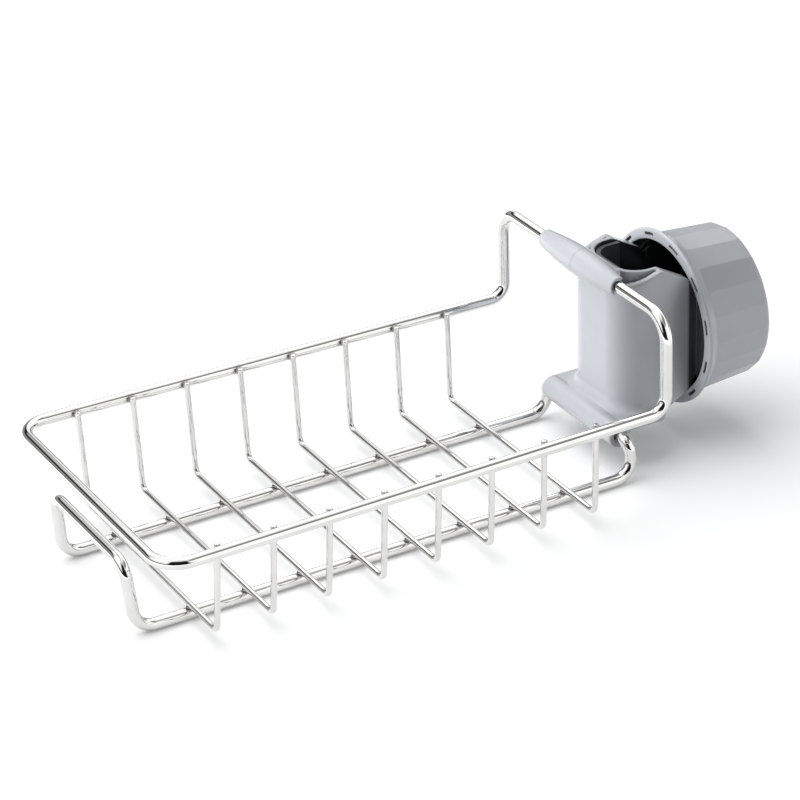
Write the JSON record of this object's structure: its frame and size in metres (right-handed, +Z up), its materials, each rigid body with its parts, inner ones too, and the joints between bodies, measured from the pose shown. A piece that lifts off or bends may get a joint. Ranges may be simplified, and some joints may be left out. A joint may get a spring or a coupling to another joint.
{
  "type": "sink organizer rack",
  "caption": "Steel wire basket on floor runners with a moulded screw clamp that grips a kitchen tap and holds sponges and brushes beside it.",
  "frame": {"origin": "centre of the footprint of the whole rack, on the surface its floor runners stand on", "axes": "+X along the basket towards the clamp and its screw cap, +Y across the basket, +Z up"},
  "size_m": [0.2401, 0.1108, 0.0744],
  "materials": {
    "steel_wire": "polished",
    "grey_plastic": "satin gloss",
    "cap_plastic": "satin gloss",
    "black_rubber": "matte"
  },
  "bodies": {
    "rack": {"rim_wire": "steel_wire", "base_wire": "steel_wire", "cross_wire_1": "steel_wire", "cross_wire_2": "steel_wire", "cross_wire_3": "steel_wire", "cross_wire_4": "steel_wire", "cross_wire_5": "steel_wire", "cross_wire_6": "steel_wire", "cross_wire_7": "steel_wire", "cross_wire_8": "steel_wire", "clamp_body": "grey_plastic", "seat_pad": "black_rubber"},
    "presser": {"pressure_plate": "grey_plastic", "pressure_pad": "black_rubber"},
    "cap": {"screw_cap": "cap_plastic"}
  },
  "joints": [
    {"name": "presser_slide", "type": "slide", "parent": "rack", "child": "presser", "axis": [1, 0, 0], "range_m": [0, 0.008]},
    {"name": "cap_turn", "type": "hinge", "parent": "presser", "child": "cap", "pos_m": [0.09285, 0, 0.042], "axis": [1, 0, 0], "range_deg": [0, 720]}
  ],
  "couplings": [
    {"joint": "presser_slide", "follows": "cap_turn", "m_per_rad": 0.0006366}
  ]
}
